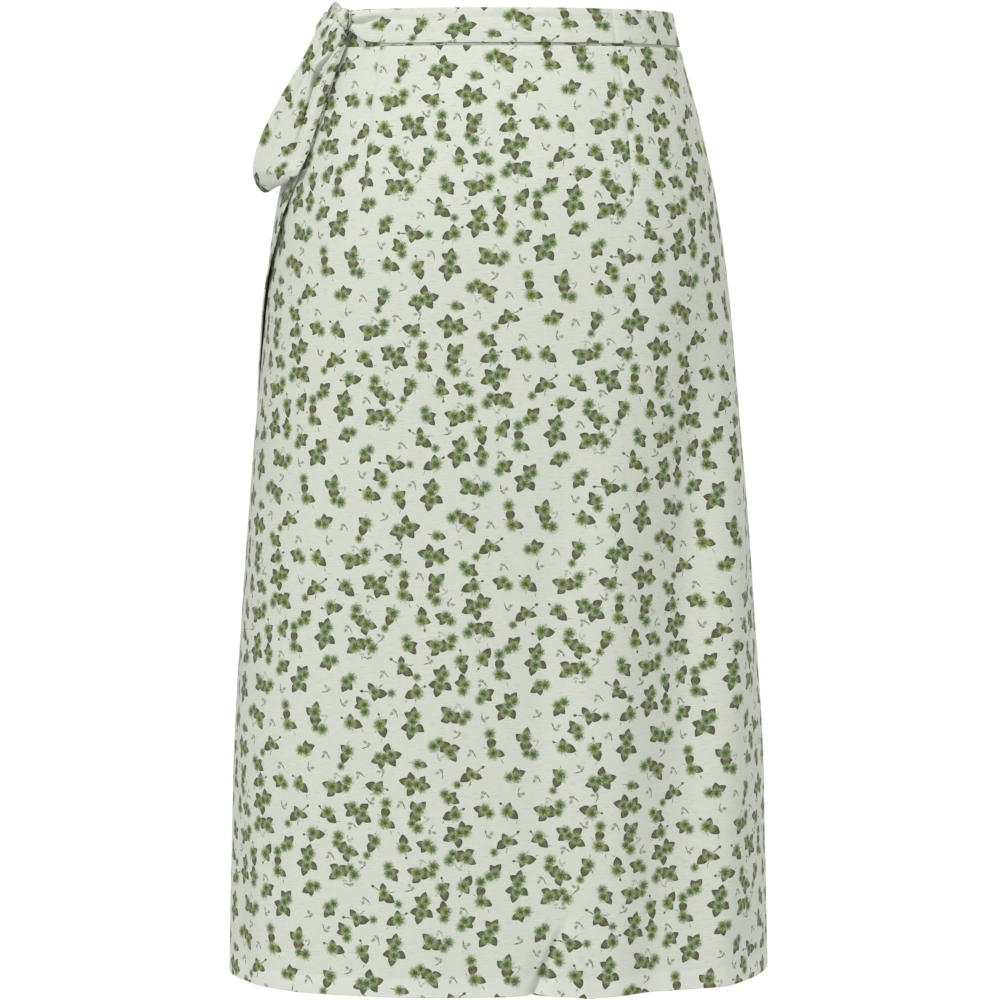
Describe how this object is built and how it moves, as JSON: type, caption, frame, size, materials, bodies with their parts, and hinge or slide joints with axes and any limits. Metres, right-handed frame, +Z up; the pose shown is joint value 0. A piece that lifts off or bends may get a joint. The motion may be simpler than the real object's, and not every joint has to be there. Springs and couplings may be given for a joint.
{
  "type": "wrap skirt",
  "caption": "Hollow wrap skirt held in its worn form, right front over left, darted back, narrow waistband with a tie round the back and a soft bow at the wearer's left side",
  "frame": {"origin": "centre of the waistband, at half its height, where the skirt is held at the waist", "axes": "+Z up; the darted back with the tie over it, which the picture shows, faces -Y; +X is the wearer's right, and the bow is on the -X side"},
  "size_m": [0.4062, 0.2845, 0.7196],
  "materials": {
    "back_panel_cloth": "matte crepe",
    "over_panel_cloth": "matte crepe",
    "under_panel_cloth": "matte crepe",
    "waistband_back_cloth": "matte crepe",
    "waistband_over_cloth": "matte crepe",
    "waistband_under_cloth": "matte crepe",
    "tie_back_run_cloth": "matte crepe",
    "knot_cloth": "matte crepe",
    "bow_loop_hanging_cloth": "matte crepe",
    "bow_loop_side_cloth": "matte crepe",
    "tie_tail_long_cloth": "matte crepe",
    "tie_tail_short_cloth": "matte crepe"
  },
  "bodies": {
    "root": {"back_panel": "back_panel_cloth", "over_panel": "over_panel_cloth", "under_panel": "under_panel_cloth", "waistband_back": "waistband_back_cloth", "waistband_over": "waistband_over_cloth", "waistband_under": "waistband_under_cloth", "tie_back_run": "tie_back_run_cloth", "knot": "knot_cloth", "bow_loop_hanging": "bow_loop_hanging_cloth", "bow_loop_side": "bow_loop_side_cloth", "tie_tail_long": "tie_tail_long_cloth", "tie_tail_short": "tie_tail_short_cloth"}
  },
  "joints": []
}
